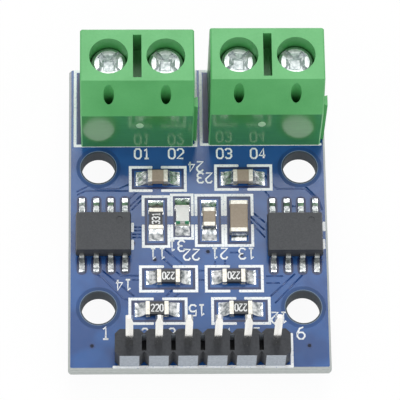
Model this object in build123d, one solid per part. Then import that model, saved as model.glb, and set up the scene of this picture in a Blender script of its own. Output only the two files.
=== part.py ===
from build123d import *
from math import atan2, degrees
import os

os.makedirs("parts", exist_ok=True)

# Dual DC motor driver module, millimetres. +Z up, +X right, +Y from the pin header towards the terminals.
# The origin is the centre of the four mounting holes, on the underside of the board.

# Circuit board
board_width = 23.0
board_length = 29.2
board_thickness = 1.6
board_corner_chamfer = 0.2
board_shift_x = -0.15          # board centre line against the centre of the holes
score_depth = 0.5              # scored edge, measured down the edge
score_inset = 0.2              # scored edge, measured across the face
hole_diameter = 3.0
hole_side_margin = 2.5         # centres of the holes to the side edges of a centred board
hole_front_margin = 5.8        # front edge of the board to the front pair of holes
hole_back_margin = 9.9         # rear pair of holes to the back edge of the board
seat_clearance = 0.05          # solder left under a part that lies on the board

# Terminal housings
pole_count = 2
housing_height = 10.0
housing_depth = 7.6
rear_face_height = 6.35
rear_slope_run = 1.7
front_bevel_run = 0.95
front_bevel_drop = 1.8
housing_edge_chamfer = 0.12
left_housing_margin = 1.12     # side edge of the board to the end of the housing
right_housing_margin = 0.48
middle_housing_gap = 1.4       # between the facing ends of the two housings
left_housing_gap = 0.22        # wire face of the housing to the back edge of the board
right_housing_gap = 0.1
well_setback = 4.1             # rear face of the housing to the screw centres
well_wall = 1.6                # left between neighbouring screw wells
neck_height = 0.5
centre_slot_width = 0.75
centre_slot_length = 4.15
centre_slot_depth = 3.0
probe_hole_diameter = 0.94
probe_hole_setback = 1.04
rib_height = 7.1
rib_reach = 0.32
rib_root = 0.8
rib_tip = 1.0
rib_setback = 1.02             # rear face of the housing to the middle of the rib
rib_clearance = 0.06
cavity_wall = 0.9              # rear wall behind the contact
partition_wall = 1.3           # left between neighbouring clamp cavities
entry_step = 0.05              # side of the cavity to the side of the wire entry
entry_height = 3.9
entry_sill = 0.7
entry_flare = 0.35

# Terminal screws
head_recess = 1.45             # top of the housing down to the flat of the head
head_height = 1.35
head_side_clearance = 0.1      # head to the wall of its well
head_shoulder = 0.35           # width of the shoulder round the flat
head_shoulder_drop = 0.38
head_crown = 0.07              # bulge of the shoulder
head_overhang = 0.35           # head beyond the shank, seated on the housing
shank_chamfer = 0.25
screw_pitch = 0.45
drive_slot_width = 0.58
drive_slot_depth = 0.5
drive_cross_inset = 0.1        # edge of the flat to the end of the shorter arms
drive_cross_depth = 0.35
drive_dish_inset = 0.42        # edge of the flat to the sides of the tapered square in the middle
drive_dish_depth = 0.6
drive_dish_taper = 35.0
head_clearance = 0.03
neck_clearance = 0.15
thread_clearance = 0.05
screw_angles = (45, 135, 40, 135)  # turn of each screw's slot with its clamp open

# Rising clamps
clamp_land = 0.45              # metal in front of and behind the threaded hole
clamp_wall = 0.5
clamp_floor = 0.6
clamp_nut = 1.0
clamp_corner_chamfer = 0.25
clamp_rest_height = 0.3        # board to the underside of the open clamp
clamp_clearance = 0.1
wire_gap = 2.3                 # clear height under the tongue with the clamp open
grip_groove = 0.25
grip_pitch = 0.8

# Contacts
strip_thickness = 0.7
leg_width = 1.0
leg_below_board = 1.9
tongue_clearance = 0.15
leg_hole_diameter = 1.3
leg_tip_chamfer = 0.2
leg_shoulder = 0.7             # wide part of the strip left below the tongue
tongue_inset = 0.2             # clamp face to the end of the tongue
pocket_clearance = 0.08
strip_bend_radius = 0.4

# Pin header
pin_pitch = 2.54
pin_count = 6
header_x = 0.05                # against the centre of the holes
header_front_gap = 0.315       # front edge of the board to the front face of the header
header_depth = 2.5
header_height = 2.54
header_notch = 0.42
header_slot_width = 0.4
header_slot_length = 1.5
header_slot_depth = 1.5
pin_width = 0.64
pin_length = 11.6
pin_above_header = 6.0
pin_tip = 0.5
pin_tip_width = 0.3
pin_hole_diameter = 1.0

# Driver chips
driver_length = 4.9
driver_width = 3.8
driver_thickness = 1.5
driver_standoff = 0.1
driver_part_line = 0.75        # underside of the body to the line of its leads
driver_draft = 8.0
lead_pitch = 1.27
leads_per_side = 4
lead_width = 0.42
lead_thickness = 0.2
lead_span = 6.0
lead_foot = 0.65
lead_shoulder = 0.35
lead_bend = 0.12               # flat cut across the outside of each bend
lead_embed = 0.3
dimple_diameter = 0.6
dimple_depth = 0.06
dimple_inset_x = 1.02
dimple_inset_y = 0.8
left_driver_margin = 0.65      # side edge of the board to the end of the chip
right_driver_margin = 0.52
left_driver_shift = -0.05      # against the centre of the holes, along Y
right_driver_shift = -0.15
driver_pad_shift = 0.25
driver_pad_span = 7.2
driver_pad_length = 1.5
driver_pad_width = 0.62
driver_solder_height = 0.12
driver_solder_slope = 30.0
toe_solder_width = 0.5

# Chip resistors, capacitors and lamp
resistor_size = (2.0, 1.25, 0.5)
capacitor_size = (1.75, 1.2, 0.85)
large_capacitor_size = (3.0, 1.65, 1.0)
lamp_size = (2.0, 1.25, 0.3)
cap_length = 0.36
cap_skin = 0.04
capacitor_edge_chamfer = 0.08
lens_size = (1.6, 1.22, 0.5)
lens_draft = 5.0
chip_pad_span = 3.9
chip_pad_width = 1.32
chip_solder_rise = 0.75        # share of the part's height that the solder climbs
chip_solder_crest = 0.9        # share of the part's width that the solder keeps at its top
chip_pad_overlap = 0.45        # pad left under the part
row_front_share = 0.15         # rows as shares of the way from the header to the terminals
row_second_share = 0.314
row_middle_share = 0.61
row_back_share = 0.829
columns_front = (-0.257, 0.232)  # columns as shares of the room between the holes, from its middle
columns_second = (-0.189, 0.195)
columns_middle = (-0.26, -0.103, 0.055, 0.23)
columns_back = (-0.247, 0.259)
lamp_shift = 0.35              # the lamp stands this far behind the middle row
large_capacitor_index = 0

# Through-hole solder
header_joint_diameter = 1.75
leg_joint_diameter = 2.3
joint_height = 0.85
joint_neck = 0.12
joint_sides = 10
joint_waist_share = 0.32       # radius and height of the waist between the foot and the neck

# Places that follow from the sizes above
hole_spacing_x = board_width - 2 * hole_side_margin
hole_spacing_y = board_length - hole_front_margin - hole_back_margin
left_edge_x = board_shift_x - board_width / 2
right_edge_x = board_shift_x + board_width / 2
front_edge_y = -hole_spacing_y / 2 - hole_front_margin
back_edge_y = front_edge_y + board_length
board_centre_y = (front_edge_y + back_edge_y) / 2
housing_room = board_width - left_housing_margin - middle_housing_gap - right_housing_margin
housing_width = housing_room / 2
pole_pitch = housing_width / pole_count
left_housing_x = left_edge_x + left_housing_margin + housing_width / 2
right_housing_x = right_edge_x - right_housing_margin - housing_width / 2
left_housing_y = back_edge_y - left_housing_gap - housing_depth
right_housing_y = back_edge_y - right_housing_gap - housing_depth
well_diameter = pole_pitch - well_wall
head_diameter = well_diameter - 2 * head_side_clearance
head_flat_diameter = head_diameter - 2 * head_shoulder
shank_diameter = head_diameter - 2 * head_overhang
shoulder_height = housing_height - head_recess - head_height
cavity_top = shoulder_height - neck_height
cavity_width = pole_pitch - partition_wall
clamp_width = cavity_width - 2 * clamp_clearance
clamp_depth = shank_diameter + 2 * clamp_land
cavity_depth = clamp_depth + 2 * clamp_clearance
entry_width = cavity_width - 2 * entry_step
tongue_bottom = clamp_rest_height + clamp_floor + wire_gap
tongue_top = tongue_bottom + strip_thickness
tongue_width = clamp_width - 2 * clamp_wall - 2 * tongue_clearance
clamp_height = clamp_floor + wire_gap + strip_thickness + clamp_clearance + clamp_nut
clamp_travel = cavity_top - clamp_clearance - clamp_rest_height - clamp_height
screw_turns = clamp_travel / screw_pitch
leg_setback = cavity_wall + strip_thickness / 2
header_y = front_edge_y + header_front_gap + header_depth / 2
pin_top = board_thickness + header_height + pin_above_header
pins_x = [header_x + pin_pitch * (i - (pin_count - 1) / 2) for i in range(pin_count)]
pole_offsets = [pole_pitch * (i - (pole_count - 1) / 2) for i in range(pole_count)]
housing_places = ((left_housing_x, left_housing_y), (right_housing_x, right_housing_y))
pole_places = [(x + offset, y) for x, y in housing_places for offset in pole_offsets]
driver_places = (
    (left_edge_x + left_driver_margin + driver_length / 2, left_driver_shift),
    (right_edge_x - right_driver_margin - driver_length / 2, right_driver_shift),
)
header_rear_y = header_y + header_depth / 2
chip_field = left_housing_y - header_rear_y
row_front = header_rear_y + chip_field * row_front_share
row_second = header_rear_y + chip_field * row_second_share
row_middle = header_rear_y + chip_field * row_middle_share
row_back = header_rear_y + chip_field * row_back_share
column_room = hole_spacing_x - hole_diameter
resistor_places = (
    (column_room * columns_middle[0], row_middle, 90),
    (column_room * columns_front[1], row_front, 0),
    (column_room * columns_second[1], row_second, 0),
    (column_room * columns_second[0], row_second, 0),
    (column_room * columns_front[0], row_front, 0),
)
capacitor_places = (
    (column_room * columns_middle[3], row_middle, 90),
    (column_room * columns_middle[2], row_middle, 90),
    (column_room * columns_back[1], row_back, 0),
    (column_room * columns_back[0], row_back, 0),
)
lamp_place = (column_room * columns_middle[1], row_middle + lamp_shift, 90)


def on_board(x, y, turn=0):
    """A place on the board's top face, turned about Z."""
    return Pos(x, y, board_thickness) * Rot(0, 0, turn)


def block(x0, x1, y0, y1, z0, z1):
    """A box between two corners."""
    return Pos((x0 + x1) / 2, (y0 + y1) / 2, (z0 + z1) / 2) * Box(x1 - x0, y1 - y0, z1 - z0)


def thicken(face, width, axis):
    """A flat face thickened equally to both sides along an axis."""
    return extrude(Pos(axis.direction * (-width / 2)) * face, amount=width, dir=axis.direction)


def side_profile(points, width):
    """A closed outline of (y, z) points, thickened along X."""
    return thicken(make_face(Plane.YZ * Polyline(*points, close=True)), width, Axis.X)


def save(shape, node):
    """Writes one node's file."""
    export_step(shape, f"parts/{node}.step")


def circuit_board():
    """Board with scored edges, mounting holes, pin holes and leg holes."""
    sheet = chamfer(Rectangle(board_width, board_length).vertices(), board_corner_chamfer)
    outline = Pos(board_shift_x, board_centre_y) * sheet
    bevel = degrees(atan2(score_inset, score_depth))
    board = extrude(Pos(0, 0, score_depth) * outline, amount=board_thickness - 2 * score_depth)
    upper = extrude(Pos(0, 0, board_thickness - score_depth) * outline, amount=score_depth, taper=bevel)
    board += upper + mirror(upper, about=Plane.XY.offset(board_thickness / 2))
    x, y = hole_spacing_x / 2, hole_spacing_y / 2
    holes = [(side * x, end * y, hole_diameter) for side in (-1, 1) for end in (-1, 1)]
    holes += [(x, header_y, pin_hole_diameter) for x in pins_x]
    holes += [(x, y + leg_setback, leg_hole_diameter) for x, y in pole_places]
    for x, y, diameter in holes:
        board -= Pos(x, y, board_thickness / 2) * Cylinder(diameter / 2, board_thickness * 2)
    return board


def dovetail(root, tip, reach, start, height):
    """A dovetail standing on the side at x = 0, its centre line at y = 0, from start to reach."""
    slope = (tip - root) / 2 / reach
    inner = root / 2 + start * slope
    points = [(start, -inner), (reach, -tip / 2), (reach, tip / 2), (start, inner)]
    return extrude(make_face(Polyline(*points, close=True)), amount=height)


def housing_shell():
    """Outer form of a terminal housing: the profile seen from its end, with its rib and groove."""
    back, top = housing_depth, housing_height
    profile = [(0, 0), (0, rear_face_height), (rear_slope_run, top), (back - front_bevel_run, top),
               (back, top - front_bevel_drop), (back, 0)]
    shell = side_profile(profile, housing_width)
    ends = shell.faces().sort_by(Axis.X)
    rims = ends[0].edges() + ends[-1].edges()
    rims = rims.filter_by(lambda edge: edge.center().Z > housing_edge_chamfer)
    shell = chamfer(rims, housing_edge_chamfer)
    side = housing_width / 2
    rib = dovetail(rib_root, rib_tip, rib_reach, -housing_edge_chamfer, rib_height)
    shell += Pos(side, rib_setback, 0) * rib
    spare = 2 * rib_clearance
    root, tip, depth = rib_root + spare, rib_tip + spare, rib_reach + rib_clearance
    groove = dovetail(root, tip, depth, -rib_reach, rib_height + spare)
    return shell - Pos(-side, rib_setback, -rib_clearance) * groove


def terminal_housing():
    """Housing with screw wells, clamp cavities, wire entries, a centre slot and probe holes."""
    housing = housing_shell()
    below = -entry_sill
    for x in pole_offsets:
        well = Pos(x, well_setback, (shoulder_height + housing_height) / 2)
        housing -= well * Cylinder(well_diameter / 2, housing_height - shoulder_height)
        neck = Cylinder(shank_diameter / 2 + neck_clearance, neck_height * 2)
        housing -= Pos(x, well_setback, shoulder_height - neck_height / 2) * neck
        half, reach = cavity_width / 2, cavity_depth / 2
        housing -= block(x - half, x + half, well_setback - reach, well_setback + reach, below, cavity_top)
        half = tongue_width / 2 + pocket_clearance
        housing -= block(x - half, x + half, cavity_wall, well_setback, below, tongue_top)
        probe = Pos(x, probe_hole_setback, (tongue_top + housing_height) / 2)
        housing -= probe * Cylinder(probe_hole_diameter / 2, housing_height - tongue_top)
        housing -= wire_entry(x)
    for x0, x1 in zip(pole_offsets, pole_offsets[1:]):
        centre, half = (x0 + x1) / 2, centre_slot_width / 2
        start, end = well_setback - centre_slot_length / 2, well_setback + centre_slot_length / 2
        floor = housing_height - centre_slot_depth
        housing -= block(centre - half, centre + half, start, end, floor, housing_height * 2)
    return housing


def wire_entry(x):
    """The cut for one wire: a straight passage into the clamp cavity with a flared mouth."""
    half, sill = entry_width / 2, entry_sill
    passage = block(x - half, x + half, well_setback, housing_depth * 2, sill, sill + entry_height)
    mouth = Plane(origin=(x, housing_depth, sill + entry_height / 2), x_dir=(1, 0, 0), z_dir=(0, -1, 0))
    opening = mouth * Rectangle(entry_width + 2 * entry_flare, entry_height + 2 * entry_flare)
    return passage + extrude(opening, amount=entry_flare, taper=45)


def terminal_screw(angle):
    """Screw with a bulging shoulder, a slot, a shorter cross arm and a tapered middle, on its own axis."""
    top = housing_height - head_recess
    base = shoulder_height + head_clearance
    tip = tongue_top + head_clearance
    rim, flat, shank = head_diameter / 2, head_flat_diameter / 2, shank_diameter / 2
    edge = top - head_shoulder_drop
    crown = ((rim + flat) / 2 + head_crown, (edge + top) / 2 + head_crown)
    outline = Polyline((flat, top), (0, top), (0, tip), (shank - shank_chamfer, tip),
                       (shank, tip + shank_chamfer), (shank, base), (rim, base), (rim, edge), crown,
                       close=True)
    screw = revolve(make_face(Plane.XZ * outline), Axis.Z)
    drive = Pos(0, 0, top) * Rot(0, 0, angle)
    screw -= drive * Box(head_diameter * 2, drive_slot_width, drive_slot_depth * 2)
    cross_length = head_flat_diameter - 2 * drive_cross_inset
    screw -= drive * Box(drive_slot_width, cross_length, drive_cross_depth * 2)
    side = head_flat_diameter - 2 * drive_dish_inset
    dish = extrude(Rectangle(side, side), amount=drive_dish_depth, taper=drive_dish_taper)
    dish = mirror(dish, about=Plane.XY)
    return screw - drive * Rot(0, 0, 45) * dish


def rising_clamp():
    """Square tube round the tongue: grooved floor, two walls and a tapped top, about the screw axis."""
    bottom, top = clamp_rest_height, clamp_rest_height + clamp_height
    frame = chamfer(Rectangle(clamp_width, clamp_height).vertices(), clamp_corner_chamfer)
    window = Rectangle(clamp_width - 2 * clamp_wall, clamp_height - clamp_floor - clamp_nut)
    frame -= Pos(0, (clamp_floor - clamp_nut) / 2) * window
    clamp = thicken(Plane.XZ * Pos(0, (bottom + top) / 2) * frame, clamp_depth, Axis.Y)
    bore = Cylinder(shank_diameter / 2 + thread_clearance, clamp_nut * 2 + thread_clearance)
    clamp -= Pos(0, 0, top) * bore
    for step in (-1, 0, 1):
        bar = Box(clamp_width - 2 * clamp_wall, grip_groove, grip_groove)
        clamp -= Pos(0, step * grip_pitch, bottom + clamp_floor) * Rot(45, 0, 0) * bar
    return clamp


def contact():
    """Bent strip: a tongue inside the clamp and a narrower leg down through the board."""
    end = well_setback + clamp_depth / 2 - tongue_inset
    foot = -board_thickness - leg_below_board
    inner = cavity_wall + strip_thickness
    profile = [(cavity_wall, foot), (cavity_wall, tongue_top), (end, tongue_top), (end, tongue_bottom),
               (inner, tongue_bottom), (inner, foot)]
    strip = side_profile(profile, tongue_width)
    bend = strip.edges().filter_by(Axis.X).sort_by(Axis.Z)[-2:].sort_by(Axis.Y)[0]
    strip = fillet(bend, strip_bend_radius)
    shoulder = tongue_bottom - leg_shoulder
    for side in (-1, 1):
        inside, outside = side * leg_width / 2, side * tongue_width
        strip -= block(min(inside, outside), max(inside, outside), 0, end, foot * 2, shoulder)
    tips = strip.faces().sort_by(Axis.Z)[0].edges()
    return chamfer(tips, leg_tip_chamfer)


def header_base():
    """Joined octagonal segments with a deep slot between each pair and a square hole for each pin."""
    outline = chamfer(Rectangle(pin_pitch, header_depth).vertices(), header_notch)
    segment = extrude(outline, amount=header_height)
    base = Part() + [Pos(x, header_y, board_thickness) * segment for x in pins_x]
    for x in pins_x[1:]:
        slot = Box(header_slot_width, header_slot_length, header_slot_depth * 2)
        base -= Pos(x - pin_pitch / 2, header_y, board_thickness + header_height) * slot
    for x in pins_x:
        base -= Pos(x, header_y, board_thickness) * Box(pin_width, pin_width, header_height * 4)
    return base


def header_pin():
    """Square pin with both ends tapered, its top at z = 0."""
    taper = degrees(atan2((pin_width - pin_tip_width) / 2, pin_tip))
    square = Rectangle(pin_width, pin_width)
    shank = extrude(Pos(0, 0, pin_tip - pin_length) * square, amount=pin_length - 2 * pin_tip)
    tip = extrude(Pos(0, 0, -pin_tip) * square, amount=pin_tip, taper=taper)
    return shank + tip + mirror(tip, about=Plane.XY.offset(-pin_length / 2))


def driver_leads():
    """Gull-wing leads of one chip, each reaching a little into the body."""
    middle = driver_standoff + driver_part_line
    inner = driver_width / 2 - lead_embed
    knee = driver_width / 2 + lead_shoulder
    toe = lead_span / 2
    ankle = toe - lead_foot
    high, low = middle + lead_thickness / 2, middle - lead_thickness / 2
    foot_top, foot_bottom = seat_clearance + lead_thickness, seat_clearance
    heel = ankle - lead_thickness
    outline = Polyline((knee - lead_bend, high), (inner, high), (inner, low), (knee - lead_thickness, low),
                       (heel, foot_bottom + lead_bend), (heel + lead_bend, foot_bottom), (toe, foot_bottom),
                       (toe, foot_top), (ankle, foot_top), (knee, high - lead_bend), close=True)
    lead = thicken(make_face(Plane.YZ * outline), lead_width, Axis.X)
    offsets = [lead_pitch * (i - (leads_per_side - 1) / 2) for i in range(leads_per_side)]
    return [Rot(0, 0, turn) * Pos(x, 0, 0) * lead for turn in (0, 180) for x in offsets]


def driver_body(leads):
    """Moulded body with drafted sides, a dimple and a seat for each lead."""
    line = driver_standoff + driver_part_line
    outline = Rectangle(driver_length, driver_width)
    above_line = driver_thickness - driver_part_line
    upper = extrude(Pos(0, 0, line) * outline, amount=above_line, taper=driver_draft)
    facing_down = Plane(origin=(0, 0, line), x_dir=(1, 0, 0), z_dir=(0, 0, -1))
    body = upper + extrude(facing_down * outline, amount=driver_part_line, taper=driver_draft)
    top = driver_standoff + driver_thickness
    spot = Pos(driver_length / 2 - dimple_inset_x, driver_width / 2 - dimple_inset_y, top)
    body -= spot * Cylinder(dimple_diameter / 2, dimple_depth * 2)
    for lead in leads:
        body -= lead
    return body


def driver_solder(leads):
    """Solder on each pad of a driver chip: a low pillow with a slope up to the toe of the lead."""
    joints = []
    toe, rise = lead_span / 2, seat_clearance + lead_thickness
    for lead in leads:
        x = lead.center().X
        side = 1 if lead.center().Y > 0 else -1
        end = driver_pad_span / 2 + side * driver_pad_shift
        pad = Rectangle(driver_pad_width, driver_pad_length)
        pillow = extrude(pad, amount=driver_solder_height, taper=driver_solder_slope)
        ramp = side_profile([(toe, 0), (end - driver_solder_height, 0), (toe, rise)], toe_solder_width)
        joint = Pos(0, end - driver_pad_length / 2, 0) * pillow + ramp
        joint = Pos(x, 0, 0) * (joint if side > 0 else mirror(joint, about=Plane.XZ))
        joints.append(joint - lead)
    return joints


def hollow_slope(start, end, rise):
    """Face under a hollow curve, from a height at start down to nothing at end."""
    if end - start >= rise:
        curve = TangentArc((end, 0), (start, rise), tangent=(-1, 0))
    else:
        curve = TangentArc((start, rise), (end, 0), tangent=(0, -1))
    return make_face(curve + Line((end, 0), (start, 0)) + Line((start, 0), (start, rise)))


def chip_core(size, corner=0.0):
    """Ceramic block of a chip part, lying along X just above the board."""
    length, width, height = (value - 2 * cap_skin for value in size)
    core = Pos(0, 0, seat_clearance + cap_skin + height / 2) * Box(length, width, height)
    return chamfer(core.edges().filter_by(Axis.X), corner) if corner else core


def chip_caps(size, core, corner=0.0):
    """The two metal end caps that wrap a chip part's ends."""
    length, width, height = size
    block_of_caps = Pos(0, 0, seat_clearance + height / 2) * Box(length, width, height)
    if corner:
        block_of_caps = chamfer(block_of_caps.edges().filter_by(Axis.X), corner + cap_skin)
    gap = Box(length - 2 * cap_length, width * 2, height * 4)
    return block_of_caps - gap - core


def chip_solder(size):
    """Solder at both ends of a chip part: a thin pad and a hollow slope up the end cap."""
    length, width, height = size
    rise = seat_clearance + height * chip_solder_rise
    start, end = length / 2, chip_pad_span / 2
    slope = thicken(Plane.XZ * hollow_slope(start, end, rise), chip_pad_width, Axis.Y)
    foot, crest = chip_pad_width / 2, width * chip_solder_crest / 2
    cheeks = side_profile([(-foot, 0), (foot, 0), (foot, seat_clearance), (crest, rise),
                           (-crest, rise), (-foot, seat_clearance)], end * 2)
    pad = block(start - chip_pad_overlap, start, -foot, foot, 0, seat_clearance)
    joint = (slope & cheeks) + pad
    return [joint, mirror(joint, about=Plane.YZ)]


def lamp_lens():
    """Clear lens block of the lamp, drafted, standing on its base."""
    length, width, height = lens_size
    outline = Pos(0, 0, seat_clearance + lamp_size[2]) * Rectangle(length, width)
    return extrude(outline, amount=height, taper=lens_draft)


def pin_joint(diameter, width, depth):
    """Solder cone under the board round a rectangular pin, drawn in between its foot and its neck."""
    neck, foot = (width ** 2 + depth ** 2) ** 0.5 / 2 + joint_neck, diameter / 2
    waist, waist_height = neck + (foot - neck) * joint_waist_share, joint_height * joint_waist_share
    flare = degrees(atan2(foot - waist, waist_height))
    throat = degrees(atan2(waist - neck, joint_height - waist_height))
    base = extrude(RegularPolygon(foot, joint_sides), amount=waist_height, taper=flare)
    tip = extrude(RegularPolygon(waist, joint_sides), amount=joint_height - waist_height, taper=throat)
    cone = base + Pos(0, 0, waist_height) * tip
    return mirror(cone, about=Plane.XY) - Box(width, depth, joint_height * 4)


def save_terminals():
    """Both housings with their screws, clamps and contacts, numbered from the left."""
    housing = terminal_housing()
    for name, (x, y) in zip(("left", "right"), housing_places):
        save(on_board(x, y) * housing, f"{name}_terminal_housing")
    clamp, strip = rising_clamp(), contact()
    for number, ((x, y), angle) in enumerate(zip(pole_places, screw_angles), start=1):
        axis = on_board(x, y + well_setback)
        save(axis * terminal_screw(angle), f"terminal_screw_{number}")
        save(axis * clamp, f"terminal_clamp_{number}")
        save(on_board(x, y) * strip, f"terminal_contact_{number}")
    joint = pin_joint(leg_joint_diameter, leg_width, strip_thickness)
    save(Compound([Pos(x, y + leg_setback, 0) * joint for x, y in pole_places]), "terminal_solder")


def save_header():
    """Header base, its pins and their solder joints."""
    save(header_base(), "header_base")
    pin = header_pin()
    for number, x in enumerate(pins_x, start=1):
        save(Pos(x, header_y, pin_top) * pin, f"header_pin_{number}")
    joint = pin_joint(header_joint_diameter, pin_width, pin_width)
    save(Compound([Pos(x, header_y, 0) * joint for x in pins_x]), "header_solder")


def save_drivers():
    """Both driver chips with their leads and solder."""
    leads = driver_leads()
    body, solder = driver_body(leads), driver_solder(leads)
    joints = []
    for name, (x, y) in zip(("left", "right"), driver_places):
        place = on_board(x, y)
        save(place * body, f"{name}_driver_body")
        save(Compound([place * lead for lead in leads]), f"{name}_driver_leads")
        joints += [place * joint for joint in solder]
    save(Compound(joints), "driver_solder")


def save_chips():
    """Resistors, capacitors and the lamp, with the solder at their ends."""
    joints = []

    def place_part(name, place, size, corner, core_name):
        spot = on_board(*place)
        core = chip_core(size, corner)
        save(spot * core, f"{name}_{core_name}")
        save(spot * chip_caps(size, core, corner), f"{name}_end_caps")
        joints.extend(spot * joint for joint in chip_solder(size))

    for number, place in enumerate(resistor_places, start=1):
        place_part(f"resistor_{number}", place, resistor_size, 0.0, "body")
    for number, place in enumerate(capacitor_places, start=1):
        size = large_capacitor_size if number - 1 == large_capacitor_index else capacitor_size
        place_part(f"capacitor_{number}", place, size, capacitor_edge_chamfer, "body")
    place_part("lamp", lamp_place, lamp_size, 0.0, "base")
    save(on_board(*lamp_place) * lamp_lens(), "lamp_lens")
    save(Compound(joints), "chip_solder")


save(circuit_board(), "circuit_board")
save_terminals()
save_header()
save_drivers()
save_chips()
print(f"clamp travel {clamp_travel:.3f} mm, screw turns {screw_turns:.3f}")
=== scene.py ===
import logging
import math
from abc import ABC, abstractmethod
from dataclasses import dataclass
from enum import Enum
from itertools import product

import bmesh
import bpy
from mathutils import Matrix, Vector


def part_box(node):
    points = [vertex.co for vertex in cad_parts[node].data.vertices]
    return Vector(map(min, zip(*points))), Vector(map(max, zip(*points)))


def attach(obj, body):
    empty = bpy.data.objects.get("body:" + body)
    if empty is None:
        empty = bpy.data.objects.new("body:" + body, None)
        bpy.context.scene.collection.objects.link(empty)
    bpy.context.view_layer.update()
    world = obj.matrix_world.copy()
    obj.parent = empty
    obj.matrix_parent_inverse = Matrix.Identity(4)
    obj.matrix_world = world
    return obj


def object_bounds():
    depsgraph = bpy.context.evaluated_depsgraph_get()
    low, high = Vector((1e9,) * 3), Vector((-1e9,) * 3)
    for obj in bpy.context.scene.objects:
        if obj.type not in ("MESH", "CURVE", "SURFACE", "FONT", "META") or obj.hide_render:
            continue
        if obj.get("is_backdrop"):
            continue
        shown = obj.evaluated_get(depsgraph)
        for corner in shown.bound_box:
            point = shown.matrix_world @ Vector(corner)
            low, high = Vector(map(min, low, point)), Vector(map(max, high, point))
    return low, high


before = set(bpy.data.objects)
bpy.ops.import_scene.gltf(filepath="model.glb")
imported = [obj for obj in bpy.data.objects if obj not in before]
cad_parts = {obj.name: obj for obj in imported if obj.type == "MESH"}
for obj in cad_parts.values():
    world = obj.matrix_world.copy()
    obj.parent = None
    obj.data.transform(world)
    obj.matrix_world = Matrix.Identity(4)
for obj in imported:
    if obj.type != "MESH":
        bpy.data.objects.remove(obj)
log = logging.getLogger("motor_driver")

Point = tuple[float, float]
Triple = tuple[float, float, float]
Mesh = bmesh.types.BMesh
Tree = bpy.types.NodeTree
Node = bpy.types.Node
Socket = bpy.types.NodeSocket

# Sizes and places are in millimetres of the object's frame. This makes them metres.
MM = 0.001
# Points nearer than this are one point.
TOUCHING = 1e-5
# A face is square to an axis if its normal has more than this of that axis.
SQUARE_ON = 0.95
BOARD_TOP = 1.6
MODULE = "module"
# The part of a noise's range that its values mostly fill.
USUAL_NOISE = (0.35, 0.65)
# At a scale of one, the bands of a wave texture lie this far apart.
WAVE_PITCH = 0.314


def linear(code: str) -> tuple[float, float, float, float]:
    """Turns an sRGB hex colour into linear light.

    Args:
        code: Six hex digits after a hash.

    Returns:
        Red, green, blue and an alpha of one.
    """
    levels = [int(code[i : i + 2], 16) / 255 for i in (1, 3, 5)]
    light = [v / 12.92 if v <= 0.04045 else ((v + 0.055) / 1.055) ** 2.4 for v in levels]
    return light[0], light[1], light[2], 1.0


def add_node(tree: Tree, kind: str, settings: dict | None = None, links: dict | None = None) -> Node:
    """Adds one node with its settings and links.

    Args:
        tree: The tree that gets the node.
        kind: The node's Blender type.
        settings: Input names or numbers, and properties, with their values.
        links: Input names or numbers, with the outputs that feed them.

    Returns:
        The new node.
    """
    node = tree.nodes.new(kind)
    for key, value in (settings or {}).items():
        if isinstance(key, str) and key[0].islower():
            setattr(node, key, value)
    for key, value in (settings or {}).items():
        if not isinstance(key, str) or key[0].isupper():
            node.inputs[key].default_value = value
    for key, source in (links or {}).items():
        tree.links.new(source, node.inputs[key])
    return node


def rays_that_show(tree: Tree) -> Socket:
    """Tells the rays that show a surface from those that only carry its light.

    Args:
        tree: The node tree.

    Returns:
        One for a camera, glossy or transmission ray, and otherwise zero.
    """
    ray = add_node(tree, "ShaderNodeLightPath")
    shown = ray.outputs["Is Camera Ray"]
    for way in ("Is Glossy Ray", "Is Transmission Ray"):
        either = add_node(tree, "ShaderNodeMath", {"operation": "MAXIMUM"}, {0: shown, 1: ray.outputs[way]})
        shown = either.outputs["Value"]
    return shown


class Direction(Enum):
    """The way that a texture's grain runs."""

    EVEN = (1.0, 1.0, 1.0)
    ALONG_X = (0.12, 1.0, 1.0)
    ALONG_Z = (1.0, 1.0, 0.12)


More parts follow.
